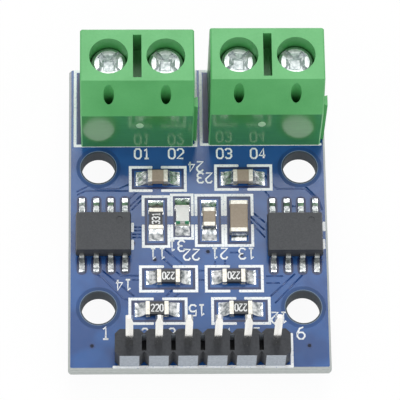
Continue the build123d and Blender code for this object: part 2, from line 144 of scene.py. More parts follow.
@dataclass(frozen=True)
class Finish(ABC):
    """A finish that can make its own material. Patterns are in millimetres of the object's own space."""

    name: str

    @abstractmethod
    def paint(self, tree: Tree, shader: Node, place: Socket) -> None:
        """Adds the nodes of this finish.

        Args:
            tree: The material's node tree.
            shader: Its Principled BSDF node.
            place: The object's own coordinates in millimetres.
        """

    def material(self) -> bpy.types.Material:
        """Makes the material once and keeps it.

        Returns:
            The material of this finish.
        """
        made = bpy.data.materials.get(self.name)
        if made:
            return made
        made = bpy.data.materials.new(self.name)
        made.use_nodes = True
        tree = made.node_tree
        tree.nodes.clear()
        shader = add_node(tree, "ShaderNodeBsdfPrincipled")
        add_node(tree, "ShaderNodeOutputMaterial", links={"Surface": shader.outputs["BSDF"]})
        where = add_node(tree, "ShaderNodeTexCoord")
        scaled = add_node(tree, "ShaderNodeMapping", {"Scale": (1 / MM,) * 3},
                          {"Vector": where.outputs["Object"]})
        self.paint(tree, shader, scaled.outputs["Vector"])
        return made

    def two_tone(self, tree: Tree, shader: Node, pattern: Socket, tones: tuple[str, str],
                 ends: Point = (0.0, 1.0)) -> None:
        """Colours the surface from one tone to another as a pattern rises.

        Args:
            tree: The material's node tree.
            shader: Its Principled BSDF node.
            pattern: The pattern, from 0 to 1.
            tones: The hex colours where it is low and where it is high.
            ends: The part of its range in which the colour turns.
        """
        share = add_node(tree, "ShaderNodeMapRange", {"From Min": ends[0], "From Max": ends[1]},
                         {"Value": pattern})
        colours = {"data_type": "RGBA", 6: linear(tones[0]), 7: linear(tones[1])}
        mixed = add_node(tree, "ShaderNodeMix", colours, {0: share.outputs["Result"]})
        tree.links.new(mixed.outputs[2], shader.inputs["Base Color"])

    def uneven(self, tree: Tree, shader: Node, pattern: Socket, rough: Point, strength: float,
               depth_mm: float) -> None:
        """Lets the gloss and the relief of the surface follow one pattern.

        Args:
            tree: The material's node tree.
            shader: Its Principled BSDF node.
            pattern: The pattern, from 0 to 1.
            rough: The roughness where it is low and where it is high.
            strength: Strength of the relief.
            depth_mm: Depth of the relief in millimetres.
        """
        gloss = add_node(tree, "ShaderNodeMapRange", {"To Min": rough[0], "To Max": rough[1]},
                         {"Value": pattern})
        tree.links.new(gloss.outputs["Result"], shader.inputs["Roughness"])
        relief = add_node(tree, "ShaderNodeBump", {"Strength": strength, "Distance": depth_mm * MM},
                          {"Height": pattern})
        tree.links.new(relief.outputs["Normal"], shader.inputs["Normal"])


@dataclass(frozen=True)
class SolderMask(Finish):
    """Photo-imaged epoxy ink over foil and laminate: glossy, and thin enough to show what lies under it."""

    over_copper: str = "#215392"
    over_laminate: str = "#1a4581"
    island_mm: float = 2.6
    island_edge: Point = (0.42, 0.58)
    weave_mm: float = 0.5
    weave_depth_mm: float = 0.003
    roughness: float = 0.2
    specular: float = 0.5

    def paint(self, tree: Tree, shader: Node, place: Socket) -> None:
        """Mixes the two blues in soft islands and adds the faint relief of the weave. See Finish."""
        islands = add_node(tree, "ShaderNodeTexNoise", {"Scale": 1 / self.island_mm, "Detail": 1.0},
                           {"Vector": place})
        blues = (self.over_laminate, self.over_copper)
        self.two_tone(tree, shader, islands.outputs["Fac"], blues, self.island_edge)
        weave = add_node(tree, "ShaderNodeTexNoise", {"Scale": 1 / self.weave_mm, "Detail": 2.0},
                         {"Vector": place})
        rough = (self.roughness - 0.04, self.roughness + 0.06)
        self.uneven(tree, shader, weave.outputs["Fac"], rough, strength=0.3, depth_mm=self.weave_depth_mm)
        shader.inputs["Specular IOR Level"].default_value = self.specular


@dataclass(frozen=True)
class SawnLaminate(Finish):
    """Glass and epoxy laminate, cut through: matt, fibrous and banded by its plies."""

    tone: str
    resin: str
    ply_mm: float = 0.2
    fuzz_mm: float = 0.25
    fuzz_depth_mm: float = 0.03

    def paint(self, tree: Tree, shader: Node, place: Socket) -> None:
        """Bands the edge with its plies and roughens it. See Finish."""
        fuzz = add_node(tree, "ShaderNodeTexNoise", {"Scale": 1 / self.fuzz_mm, "Detail": 3.0},
                        {"Vector": place})
        wave = {"bands_direction": "Z", "Scale": WAVE_PITCH / self.ply_mm, "Distortion": 1.5, "Detail": 1.0}
        plies = add_node(tree, "ShaderNodeTexWave", wave, {"Vector": place})
        both = add_node(tree, "ShaderNodeMath", {"operation": "MULTIPLY"},
                        {0: fuzz.outputs["Fac"], 1: plies.outputs["Fac"]})
        self.two_tone(tree, shader, both.outputs["Value"], (self.tone, self.resin))
        shader.inputs["Roughness"].default_value = 0.75
        relief = add_node(tree, "ShaderNodeBump", {"Strength": 0.6, "Distance": self.fuzz_depth_mm * MM},
                          {"Height": fuzz.outputs["Fac"]})
        tree.links.new(relief.outputs["Normal"], shader.inputs["Normal"])


@dataclass(frozen=True)
class Moulding(Finish):
    """A moulded or fired body with fine pits, which are drawn coarser than real, so that they show."""

    tone: str
    deep: str
    roughness: float
    grain_mm: float = 0.14
    grain_depth_mm: float = 0.01
    cloud_mm: float = 3.0
    speckle: float = 0.5
    specular: float = 0.5
    run: Direction = Direction.EVEN

    def paint(self, tree: Tree, shader: Node, place: Socket) -> None:
        """Clouds the tone slightly, and pits the surface. See Finish."""
        cloud = add_node(tree, "ShaderNodeTexNoise", {"Scale": 1 / self.cloud_mm, "Detail": 2.0},
                         {"Vector": place})
        drawn = add_node(tree, "ShaderNodeMapping", {"Scale": self.run.value}, {"Vector": place})
        pits = {"Scale": 1 / self.grain_mm, "Detail": 3.0, "Roughness": 0.6}
        grain = add_node(tree, "ShaderNodeTexNoise", pits, {"Vector": drawn.outputs["Vector"]})
        mixed = add_node(tree, "ShaderNodeMix", {"data_type": "FLOAT", 0: self.speckle},
                         {2: cloud.outputs["Fac"], 3: grain.outputs["Fac"]})
        self.two_tone(tree, shader, mixed.outputs[0], (self.deep, self.tone), USUAL_NOISE)
        rough = (self.roughness + 0.08, self.roughness - 0.06)
        self.uneven(tree, shader, grain.outputs["Fac"], rough, strength=0.5, depth_mm=self.grain_depth_mm)
        shader.inputs["Specular IOR Level"].default_value = self.specular


@dataclass(frozen=True)
class Plating(Finish):
    """Metal under a thin coat, with marks along the way it was worked, drawn coarser than real."""

    bright: str
    dull: str
    roughness: float
    mark_mm: float = 0.3
    mark_depth_mm: float = 0.004
    run: Direction = Direction.EVEN

    def paint(self, tree: Tree, shader: Node, place: Socket) -> None:
        """Dulls and marks the metal along its run. See Finish."""
        drawn = add_node(tree, "ShaderNodeMapping", {"Scale": self.run.value}, {"Vector": place})
        marks = add_node(tree, "ShaderNodeTexNoise", {"Scale": 1 / self.mark_mm, "Detail": 3.0},
                         {"Vector": drawn.outputs["Vector"]})
        self.two_tone(tree, shader, marks.outputs["Fac"], (self.dull, self.bright), USUAL_NOISE)
        rough = (self.roughness + 0.07, self.roughness - 0.07)
        self.uneven(tree, shader, marks.outputs["Fac"], rough, strength=0.6, depth_mm=self.mark_depth_mm)
        shader.inputs["Metallic"].default_value = 1.0


@dataclass(frozen=True)
class PrintedInk(Finish):
    """Screen-printed epoxy ink, thin at its pinholes, which are drawn coarser than real."""

    tone: str = "#f4f7f8"
    under: str = "#b9c6da"
    pinhole_mm: float = 0.16
    pinhole_depth_mm: float = 0.006
    pinhole_edge: Point = (0.56, 0.7)

    def paint(self, tree: Tree, shader: Node, place: Socket) -> None:
        """Thins the ink in spots. See Finish."""
        spots = add_node(tree, "ShaderNodeTexNoise", {"Scale": 1 / self.pinhole_mm, "Detail": 2.0},
                         {"Vector": place})
        self.two_tone(tree, shader, spots.outputs["Fac"], (self.tone, self.under), self.pinhole_edge)
        shader.inputs["Roughness"].default_value = 0.5
        relief = add_node(tree, "ShaderNodeBump", {"Strength": 0.4, "Distance": self.pinhole_depth_mm * MM},
                          {"Height": spots.outputs["Fac"]})
        tree.links.new(relief.outputs["Normal"], shader.inputs["Normal"])


@dataclass(frozen=True)
class ClearResin(Finish):
    """Cast clear epoxy, glossy and slightly milky."""

    tone: str = "#fbfbf8"
    milk: str = "#eef1ee"
    milk_mm: float = 0.5
    ripple_mm: float = 0.01
    rough: Point = (0.08, 0.22)
    clearness: float = 0.45
    ior: float = 1.52

    def paint(self, tree: Tree, shader: Node, place: Socket) -> None:
        """Lets light through, and makes the gloss uneven. See Finish."""
        cloud = add_node(tree, "ShaderNodeTexNoise", {"Scale": 1 / self.milk_mm, "Detail": 1.0},
                         {"Vector": place})
        self.two_tone(tree, shader, cloud.outputs["Fac"], (self.tone, self.milk))
        self.uneven(tree, shader, cloud.outputs["Fac"], self.rough, strength=0.3, depth_mm=self.ripple_mm)
        shader.inputs["Transmission Weight"].default_value = self.clearness
        shader.inputs["IOR"].default_value = self.ior


@dataclass(frozen=True)
class PaleFloor(Finish):
    """Seamless white card, nearly white to the camera and in reflections, with a soft shadow on it."""

    tone: str = "#f4f4f3"
    pale: str = "#f8f8f8"
    fibre_mm: float = 0.8
    lift: float = 0.94

    def paint(self, tree: Tree, shader: Node, place: Socket) -> None:
        """Lifts the card towards white for camera, glossy and transmission rays. See Finish."""
        fibre = add_node(tree, "ShaderNodeTexNoise", {"Scale": 1 / self.fibre_mm, "Detail": 2.0},
                         {"Vector": place})
        self.two_tone(tree, shader, fibre.outputs["Fac"], (self.tone, self.pale))
        shader.inputs["Roughness"].default_value = 0.9
        white = add_node(tree, "ShaderNodeEmission", {"Color": linear("#ffffff"), "Strength": 1.0})
        share = add_node(tree, "ShaderNodeMath", {"operation": "MULTIPLY", 1: self.lift},
                         {0: rays_that_show(tree)})
        surfaces = {0: share.outputs["Value"], 1: shader.outputs["BSDF"], 2: white.outputs["Emission"]}
        mixed = add_node(tree, "ShaderNodeMixShader", links=surfaces)
        output = next(n for n in tree.nodes if n.type == "OUTPUT_MATERIAL")
        tree.links.new(mixed.outputs["Shader"], output.inputs["Surface"])


# Epoxy mask, curtain coated over copper: a wet, even blue that mirrors what stands on it.
MASK = SolderMask("blue_solder_mask")
# Over bare laminate, with no copper to throw the light back: a much deeper blue, which is also laid as
# strips of painted shade beside the housings.
MASK_OVER_GAP_AND_PAINTED_SHADE = SolderMask("blue_mask_over_bare_laminate_and_painted_shade", over_copper="#14295a", over_laminate="#10214c",
                           roughness=0.3)
# Over a gap as narrow as a hair: only a shade darker than the copper beside it.
MASK_OVER_SEAM = SolderMask("blue_mask_over_a_narrow_gap", over_copper="#1f4682", over_laminate="#1b3f78",
                            roughness=0.24)
# Where it sinks to the laminate round a hole: a dull, darker halo.
MASK_IN_DIP = SolderMask("blue_mask_sunk_round_a_hole", over_copper="#1d477f", over_laminate="#193d6e",
                         roughness=0.32, specular=0.3)
# A drilled via, closed by the mask: nearly black, for no light comes back out of it.
VIA_MOUTH = SawnLaminate("unlit_via_mouth", tone="#101a30", resin="#080e1c")
# Snapped from its panel along a scored line: pale grey, fibrous and striped by its plies.
SAWN_EDGE = SawnLaminate("scored_laminate_edge", tone="#bcc1bf", resin="#8a918e")
# Drilled through: dark in its own shade, and ringed by its plies.
DRILLED_WALL = SawnLaminate("drilled_laminate_wall", tone="#424950", resin="#2c3136", fuzz_mm=0.4)
# Left bare by the mask's opening: a thin dark line round the hole.
HOLE_LIP = SawnLaminate("unmasked_laminate_lip", tone="#303b45", resin="#212a33")
# The developed edge of the mask, seen end on: a chalky pale hairline.
MASK_STEP = SawnLaminate("chalky_step_of_the_mask", tone="#74869b", resin="#50647f")
# White epoxy ink through a screen: flat white, with a little blue at its pinholes.
INK = PrintedInk("white_screen_print")
# The finer ink on the resistors: a greyer white, broken by the glaze under it.
FAINT_INK = PrintedInk("resistor_marking", tone="#f4f5f6", under="#b9bdc0", pinhole_mm=0.12)
# Nylon 66, injection moulded: a soft, satin mid green.
GREEN_NYLON = Moulding("green_moulded_nylon", "#5bb068", "#50a55d", 0.38, grain_mm=0.16,
                       grain_depth_mm=0.005, speckle=0.3)
# Nylon off a polished tool face, on the housings' front faces: it mirrors the board and is drawn out
# sideways, and its deeper green is painted shade.
POLISHED_GREEN_PAINTED_SHADE = Moulding("polished_green_nylon_painted_shade", "#44924e", "#3d8746", 0.13, grain_mm=0.22,
                        grain_depth_mm=0.004, specular=0.9, run=Direction.ALONG_X)
# Nylon sheared at the gate: a whitened, torn spot.
GATE_SCAR = Moulding("sheared_gate_scar", "#b4dcb2", "#93c797", 0.5)
# Glass-filled nylon, moulded: a speckled, slightly dusty black.
BLACK_NYLON = Moulding("black_glass_filled_nylon", "#32353a", "#24262b", 0.45, grain_mm=0.2,
                       grain_depth_mm=0.01, speckle=0.8, specular=0.3)
# The same, painted a speckled pale grey on the faces that look to the front: a painted reflection of the
# pale floor, and painted light in the slots between its segments.
HEADER_NYLON_PAINTED_REFLECTION = Moulding("black_nylon_painted_reflection", "#a9b1bb", "#8c95a0", 0.5, grain_mm=0.2,
                         grain_depth_mm=0.01, speckle=0.8)
# Silica-filled epoxy, transfer moulded: an even, matt charcoal.
CHIP_RESIN = Moulding("black_chip_resin", "#3a3c40", "#2e3034", 0.55, grain_mm=0.13, grain_depth_mm=0.006,
                      speckle=0.8)
# Glass fired over the resistor's film: a closer and smoother black.
RESISTOR_GLAZE = Moulding("black_resistor_glaze", "#2c2e31", "#212326", 0.4, grain_mm=0.2,
                          grain_depth_mm=0.004, speckle=0.6)
# Fired ceramic: a warm, dry grey-brown.
CERAMIC = Moulding("fired_brown_ceramic", "#9d9080", "#8e8070", 0.5, grain_mm=0.15, grain_depth_mm=0.005,
                   speckle=0.6)
# White glass laminate, cut for the lamp's base: nearly white, and matt.
LAMP_LAMINATE = Moulding("pale_lamp_laminate", "#f4f4ee", "#e6e7de", 0.5)
# Clear epoxy, cast over the lamp: a glossy, milky window on what lies under it.
LENS = ClearResin("clear_lamp_resin")
# Green lacquer on the lamp's foot: two flat spots of strong green.
LAMP_MARK = Moulding("green_lamp_mark", "#0f9a68", "#0c8257", 0.5)
# The die on its bed: a small brassy square.
LAMP_DIE = Moulding("lamp_die", "#a8925c", "#8d7a4a", 0.4)
# Nickel on headed steel: silvery and softly brushed by handling.
NICKEL = Plating("nickel_plated_steel", "#d8dcdc", "#b6bbbc", 0.44, mark_mm=0.35, mark_depth_mm=0.02)
# The head's recess, torn by the punch: facets that glint here and there, painted paler than the rest of the
# head as painted light in the recess.
RECESS_NICKEL_PAINTED_LIGHT = Plating("nickel_painted_light_in_the_recess", "#f0f3f4", "#bfc5c9", 0.58, mark_mm=0.3,
                         mark_depth_mm=0.05)
# Zinc on folded steel strip: a duller, bluish grey with a sideways draw.
ZINC = Plating("zinc_plated_steel", "#c3c6ca", "#a3a7ad", 0.35, mark_mm=0.4, run=Direction.ALONG_X)
# Tin on rolled brass strip: bright, with soft upright streaks.
TIN_STRIP = Plating("tinned_brass_strip", "#dedcd6", "#c2c0b9", 0.32, run=Direction.ALONG_Z)
# Tin on drawn square wire: mirror-bright faces that go from white to black.
TIN_PIN = Plating("tinned_square_pin", "#fbfaf5", "#f1efea", 0.12, mark_mm=0.5, mark_depth_mm=0.001,
                  run=Direction.ALONG_Z)
# Matt tin on trimmed and bent leads: a dull, uneven grey.
TIN_LEAD = Plating("tinned_chip_lead", "#9c9f9e", "#6d7172", 0.32, mark_mm=0.2, mark_depth_mm=0.01)
# Tin over fired paste: creamy, grainy end caps.
TIN_CAP = Plating("tinned_end_cap", "#d1cec5", "#bab7ae", 0.48, mark_mm=0.15, mark_depth_mm=0.01)
# Tin solder, melted in an oven: bright ripples between grey patches of flux.
SOLDER = Plating("reflowed_solder", "#e4e6e6", "#7e8487", 0.22, mark_mm=0.4, mark_depth_mm=0.06)

# The first key that is in a node's name gives the node's finish.
NODE_FINISHES: tuple[tuple[str, Finish], ...] = (
    ("terminal_housing", GREEN_NYLON), ("terminal_screw", NICKEL), ("terminal_clamp", ZINC),
    ("terminal_contact", TIN_STRIP), ("solder", SOLDER), ("header_base", BLACK_NYLON),
    ("header_pin", TIN_PIN), ("driver_body", CHIP_RESIN), ("driver_leads", TIN_LEAD), ("end_caps", TIN_CAP),
    ("resistor", RESISTOR_GLAZE), ("capacitor", CERAMIC), ("lamp_base", LAMP_LAMINATE), ("lamp_lens", LENS),
)
# What some faces of a node get instead: painted shade on the housings, painted light in the screws'
# recesses and a painted reflection on the header.
SECOND_FINISHES: tuple[tuple[str, Finish], ...] = (
    ("terminal_housing", POLISHED_GREEN_PAINTED_SHADE), ("terminal_screw", RECESS_NICKEL_PAINTED_LIGHT), ("header_base", HEADER_NYLON_PAINTED_REFLECTION),
)


def publish(name: str, mesh: Mesh, finish: Finish) -> None:
    """Turns a mesh drawn in millimetres into a piece at the origin, which rides on the module.

    Args:
        name: The piece's name.
        mesh: The mesh, in millimetres of the object's frame. It is used up.
        finish: What it is dressed in.
    """
    bmesh.ops.scale(mesh, vec=(MM,) * 3, verts=mesh.verts)
    data = bpy.data.meshes.new(name)
    mesh.to_mesh(data)
    mesh.free()
    data.materials.append(finish.material())
    piece = bpy.data.objects.new(name, data)
    bpy.context.scene.collection.objects.link(piece)
    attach(piece, MODULE)
    log.info("%s: %d faces in %s", name, len(data.polygons), finish.name)


def gather(target: Mesh, part: Mesh, place: Matrix) -> None:
    """Moves a mesh into its place and adds it to another.

    Args:
        target: The mesh that grows.
        part: The mesh that is used up.
        place: Where the part goes, in millimetres.
    """
    bmesh.ops.transform(part, matrix=place, verts=part.verts)
    spare = bpy.data.meshes.new("spare")
    part.to_mesh(spare)
    part.free()
    target.from_mesh(spare)
    bpy.data.meshes.remove(spare)


def from_curve(curve: bpy.types.Curve) -> Mesh:
    """Meshes a curve, and removes it.

    Args:
        curve: The curve's data.

    Returns:
        Its mesh, where the curve has it.
    """
    holder = bpy.data.objects.new("holder", curve)
    bpy.context.scene.collection.objects.link(holder)
    graph = bpy.context.evaluated_depsgraph_get()
    data = bpy.data.meshes.new_from_object(holder.evaluated_get(graph))
    mesh = bmesh.new()
    mesh.from_mesh(data)
    bpy.data.objects.remove(holder)
    bpy.data.curves.remove(curve)
    bpy.data.meshes.remove(data)
    return mesh


def pull_up(mesh: Mesh, extruded: dict, height: float) -> None:
    """Moves what an extrusion made straight up, by a height."""
    fresh = [v for v in extruded["geom"] if isinstance(v, bmesh.types.BMVert)]
    bmesh.ops.translate(mesh, vec=(0, 0, height), verts=fresh)


def plate(width: float, depth: float, height: float, corner: float) -> Mesh:
    """A flat plate on the plane z = 0 with its upright edges rounded.

    Args:
        width: Size along X.
        depth: Size along Y.
        height: Size along Z.
        corner: Radius of the upright edges.

    Returns:
        The mesh.
    """
    mesh = bmesh.new()
    place = Matrix.Translation((0, 0, height / 2)) @ Matrix.Diagonal((width, depth, height, 1))
    bmesh.ops.create_cube(mesh, size=1.0, matrix=place)
    upright = [e for e in mesh.edges if abs(e.verts[0].co.z - e.verts[1].co.z) > height / 2]
    bmesh.ops.bevel(mesh, geom=upright, offset=corner, segments=3, profile=0.5, affect="EDGES", material=-1)
    return mesh


def flat_ring(inner: float, outer: float, height: float, segments: int = 48) -> Mesh:
    """A low ring on the plane z = 0.

    Args:
        inner: Inner radius.
        outer: Outer radius.
        height: Its height.
        segments: Sides of its circle.

    Returns:
        The mesh.
    """
    mesh = bmesh.new()
    edge = mesh.edges.new([mesh.verts.new((radius, 0, 0)) for radius in (inner, outer)])
    pull_up(mesh, bmesh.ops.extrude_edge_only(mesh, edges=[edge]), height)
    bmesh.ops.spin(mesh, geom=mesh.edges[:], cent=(0, 0, 0), axis=(0, 0, 1), angle=math.tau, steps=segments,
                   use_merge=True)
    # The profile that was spun is still a face across the ring, and goes.
    across = [f for f in mesh.faces if abs(f.calc_center_median().y) < TOUCHING]
    profile = [f for f in across if abs(f.normal.y) > SQUARE_ON]
    bmesh.ops.delete(mesh, geom=profile, context="FACES_ONLY")
    bmesh.ops.remove_doubles(mesh, verts=mesh.verts, dist=TOUCHING)
    bmesh.ops.recalc_face_normals(mesh, faces=mesh.faces)
    return mesh


def traced(runs: list[tuple[Point, ...]], width: float, film: float) -> Mesh:
    """Lays flat, slightly domed lines along runs of points on the plane z = 0.

    Args:
        runs: The runs' points.
        width: Width of the line.
        film: Its height over the plane.

    Returns:
        The mesh.
    """
    curve = bpy.data.curves.new("runs", "CURVE")
    curve.dimensions = "3D"
    curve.bevel_depth = width / 2
    curve.bevel_resolution = 1
    curve.use_fill_caps = True
    for run in runs:
        line = curve.splines.new("POLY")
        line.points.add(len(run) - 1)
        for point, (x, y) in zip(line.points, run):
            point.co = (x, y, 0, 1)
    mesh = from_curve(curve)
    bmesh.ops.transform(mesh, matrix=Matrix.Diagonal((1, 1, 2 * film / width, 1)), verts=mesh.verts)
    bmesh.ops.remove_doubles(mesh, verts=mesh.verts, dist=TOUCHING)
    bmesh.ops.recalc_face_normals(mesh, faces=mesh.faces)
    return mesh


def framed(low: Point, high: Point, line: float) -> Mesh:
    """A flat rectangular frame on the plane z = 0.

    Args:
        low: Its low corner.
        high: Its high corner.
        line: Width of its sides, measured inwards.

    Returns:
        The mesh, one layer of faces.
    """
    mesh = bmesh.new()
    middle = Vector(((low[0] + high[0]) / 2, (low[1] + high[1]) / 2, 0))
    place = Matrix.Translation(middle) @ Matrix.Diagonal((high[0] - low[0], high[1] - low[1], 1, 1))
    bmesh.ops.create_grid(mesh, x_segments=1, y_segments=1, size=0.5, matrix=place)
    inner = mesh.faces[:]
    bmesh.ops.inset_region(mesh, faces=inner, thickness=line, use_boundary=True, use_even_offset=True)
    bmesh.ops.delete(mesh, geom=inner, context="FACES")
    return mesh


def raise_film(mesh: Mesh, film: float) -> Mesh:
    """Gives one layer of faces a thickness.

    Args:
        mesh: The layer, on the plane z = 0.
        film: The thickness.

    Returns:
        The same mesh.
    """
    pull_up(mesh, bmesh.ops.extrude_face_region(mesh, geom=mesh.faces[:]), film)
    bmesh.ops.recalc_face_normals(mesh, faces=mesh.faces)
    return mesh


@dataclass(frozen=True)
class NodeDresser:
    """Dresses the carried-over nodes by their names, and some of their faces a second way."""

    recess_radius: float = 1.2
    recess_depth: float = 0.9
    recess_rim: float = 0.01
    front_depth: float = 0.1
    facing: float = 0.97

    def dress_nodes(self) -> None:
        """Gives every node but the board its finish."""
        for name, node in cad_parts.items():
            finish = next((f for key, f in NODE_FINISHES if key in name), None)
            if finish is None:
                continue
            node.data.materials.clear()
            node.data.materials.append(finish.material())
            log.info("%s in %s", name, finish.name)

    def in_recess(self, spot: Vector, low: Vector, high: Vector) -> bool:
        """Tells if a spot lies in the pressed recess of a screw's head.

        Args:
            spot: The middle of a face.
            low: The screw's lowest corner.
            high: The screw's highest corner.

        Returns:
            Whether it does.
        """
        away = (spot - (low + high) / 2).to_2d().length
        floor, rim = high.z - self.recess_depth * MM, high.z - self.recess_rim * MM
        return away < self.recess_radius * MM and floor < spot.z < rim

    def dress_faces(self) -> None:
        """Gives the screws' recesses, and the near faces of header and housings, their second finish:
        painted light, painted shade and a painted reflection.
        """
        for name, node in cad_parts.items():
            second = next((f for key, f in SECOND_FINISHES if key in name), None)
            if second is None:
                continue
            low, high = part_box(name)
            node.data.materials.append(second.material())
            for face in node.data.polygons:
                if "screw" in name:
                    chosen = self.in_recess(face.center, low, high)
                else:
                    # On the header every face that looks to the front gets the painted reflection, in its
                    # slots too.
                    outermost = face.center.y < low.y + self.front_depth * MM or "header" in name
                    chosen = face.normal.y < -self.facing and outermost
                face.material_index = 1 if chosen else 0

    def build(self) -> None:
        """Dresses the nodes, and then their faces."""
        self.dress_nodes()
        self.dress_faces()


@dataclass(frozen=True)
class OutlineMark:
    """A printed rectangle, open in its two long sides: its corners, the openings' ends, and its lie."""

    low: Point
    high: Point
    gap: Point
    upright: bool = False


# One round each chip resistor and capacitor and the lamp.
PART_OUTLINES = (
    OutlineMark((-6.28, 4.38), (-1.12, 6.91), (-4.18, -3.42)),
    OutlineMark((1.34, 4.47), (6.54, 7.05), (3.52, 4.28)),
    OutlineMark((-5.42, -5.3), (-0.22, -2.72), (-3.22, -2.44)),
    OutlineMark((0.37, -5.32), (5.56, -2.72), (2.6, 3.36)),
    OutlineMark((-6.37, -8.36), (-1.18, -5.79), (-4.14, -3.4)),
    OutlineMark((0.89, -8.39), (6.12, -5.77), (3.12, 3.8)),
    OutlineMark((-5.15, -1.04), (-2.63, 4.04), (1.2, 2.02), True),
    OutlineMark((-2.62, -0.27), (-0.53, 4.2), (1.2, 2.02), True),
    OutlineMark((-0.46, -0.97), (2.15, 4.16), (1.2, 2.02), True),
    OutlineMark((2.16, -0.97), (4.79, 4.16), (1.2, 2.02), True),
)


@dataclass(frozen=True)
class CircuitBoard:
    """The board's own surfaces: mask, edges, hole rims, vias, the gaps in the copper under the mask, and
    strips of painted shade by the housings.
    """

    edge_band: float = 0.5
    lip_width: float = 0.11
    step_width: float = 0.05
    bare_width: float = 0.32
    hole_radius: float = 1.5
    hole_places: tuple[Point, ...] = ((-9.0, -6.75), (9.0, -6.75), (-9.0, 6.75), (9.0, 6.75))
    gap_width: float = 0.16
    pad_gap_inset: float = 0.27
    pad_gap_width: float = 0.2
    chip_places: tuple[Point, ...] = ((-8.55, -0.05), (8.38, -0.15))
    lead_rows: Point = (3.12, -2.62)
    lead_columns: tuple[float, ...] = (-1.5, -0.5, 0.5, 1.5)
    lead_pitch: float = 1.27
    lead_gap: Triple = (0.92, 1.85, 0.4)
    # Strips of painted shade at the left end of each housing, drawn in the deeper blue of the gaps.
    painted_shade_strips: tuple[tuple[Point, Point], ...] = (
        ((-10.9, 9.1), (-10.4, 16.15)),
        ((0.42, 9.2), (0.95, 16.15)),
    )
    strip_corner: float = 0.05
    film: float = 0.012
    thin_film: float = 0.0084
    sunk: float = 0.002
    via_places: tuple[Point, ...] = (
        (-4.03, -2.17), (0.68, -1.42), (3.63, -1.74), (5.26, -3.91), (-5.94, -0.6), (-9.56, -10.31),
        (9.43, -10.36),
    )
    via_radius: float = 0.17
    via_ring: float = 0.3
    via_sides: int = 20
    mouth_radius: float = 0.1785
    mouth_rim: float = 0.051
    mouth_dip: float = 0.001
    gap_runs: tuple[tuple[Point, ...], ...] = (
        ((-10.9, 4.11), (-10.1, 4.5), (-6.32, 4.48)),
        ((-10.94, 4.41), (-9.83, 5.02), (-9.21, 4.69), (-7.21, 4.68), (-6.26, 5.13)),
        ((-6.27, 3.72), (-5.26, 4.69), (-4.31, 4.69)),
        ((-6.21, 2.99), (-5.15, 4.06)),
        ((-6.05, 2.63), (-5.16, 3.6)),
        ((-5.89, 0.96), (-5.19, 0.96)),
        ((-5.89, 0.64), (-5.19, 0.64)),
        ((-6.0, 0.27), (-5.2, 0.27)),
        ((-6.0, -0.03), (-5.2, -0.03)),
        ((5.89, 6.0), (6.21, 5.39), (6.92, 4.65), (9.43, 4.64), (10.63, 3.48)),
        ((9.44, 4.89), (10.58, 3.72), (10.91, 2.57)),
        ((5.85, 4.41), (6.29, 3.8)),
        ((4.78, 2.29), (5.79, 1.37)),
        ((4.36, 2.1), (5.72, 0.65)),
        ((4.29, 1.74), (5.76, -0.08)),
        ((8.16, 2.94), (8.66, 2.94)),
        ((-9.38, -3.43), (-8.66, -3.85), (-6.8, -5.88), (-6.36, -6.0)),
        ((-8.66, -3.2), (-5.86, -5.65)),
        ((-7.45, -3.32), (-7.01, -3.68), (-5.42, -3.69)),
        ((-6.02, -4.1), (-5.36, -4.1)),
        ((-3.14, -1.19), (-1.6, -2.57)),
        ((-3.47, -1.9), (-2.49, -2.84)),
        ((-0.4, -3.23), (0.37, -3.23)),
        ((-0.4, -4.13), (0.36, -4.13)),
        ((5.79, -3.79), (7.28, -3.79)),
        ((5.77, -4.45), (6.99, -4.45)),
        ((6.13, -5.7), (8.33, -3.57)),
        ((6.5, -6.35), (9.1, -3.57)),
        ((1.29, -2.34), (1.29, -2.76)),
        ((2.18, -2.23), (2.18, -2.76)),
        ((2.63, -1.51), (3.4, -1.51)),
        ((-3.06, -5.66), (-2.51, -5.07)),
        ((-2.3, -5.72), (-1.63, -5.13)),
    )

    def dress(self) -> None:
        """Gives the faces, the outer edges and the hole walls of the board's node their own finishes."""
        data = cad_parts["circuit_board"].data
        low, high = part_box("circuit_board")
        data.materials.clear()
        for finish in (MASK, SAWN_EDGE, DRILLED_WALL):
            data.materials.append(finish.material())
        for face in data.polygons:
            spot = face.center
            inside = min(spot.x - low.x, high.x - spot.x, spot.y - low.y, high.y - spot.y)
            if abs(face.normal.z) > SQUARE_ON:
                face.material_index = 0
            elif inside < self.edge_band * MM:
                face.material_index = 1
            else:
                face.material_index = 2

    def hole_lips(self) -> None:
        """Draws the bare lip, the chalky step of the mask and the sunken ring round each mounting hole."""
        lips, steps, sunk = bmesh.new(), bmesh.new(), bmesh.new()
        for x, y in self.hole_places:
            place = Matrix.Translation((x, y, BOARD_TOP - self.sunk))
            edge = self.hole_radius + self.lip_width
            step = edge + self.step_width
            gather(lips, flat_ring(self.hole_radius, edge, self.thin_film), place)
            gather(steps, flat_ring(edge, step, self.film), place)
            gather(sunk, flat_ring(step, step + self.bare_width, self.thin_film), place)
        publish("mounting_hole_lips", lips, HOLE_LIP)
        publish("mounting_hole_mask_steps", steps, MASK_STEP)
        publish("mounting_hole_clearances", sunk, MASK_IN_DIP)

    def copper_gaps_and_painted_shade(self) -> None:
        """Draws the narrow gaps between copper areas, and those round the pads, under the mask, and strips
        of painted shade by the housings.
        """
        gaps, seams = bmesh.new(), bmesh.new()
        surface = Matrix.Translation((0, 0, BOARD_TOP))
        gather(seams, traced(list(self.gap_runs), self.gap_width, self.film / 2), surface)
        for mark in PART_OUTLINES:
            low = (mark.low[0] + self.pad_gap_inset, mark.low[1] + self.pad_gap_inset)
            high = (mark.high[0] - self.pad_gap_inset, mark.high[1] - self.pad_gap_inset)
            gather(gaps, raise_film(framed(low, high, self.pad_gap_width), self.film / 2), surface)
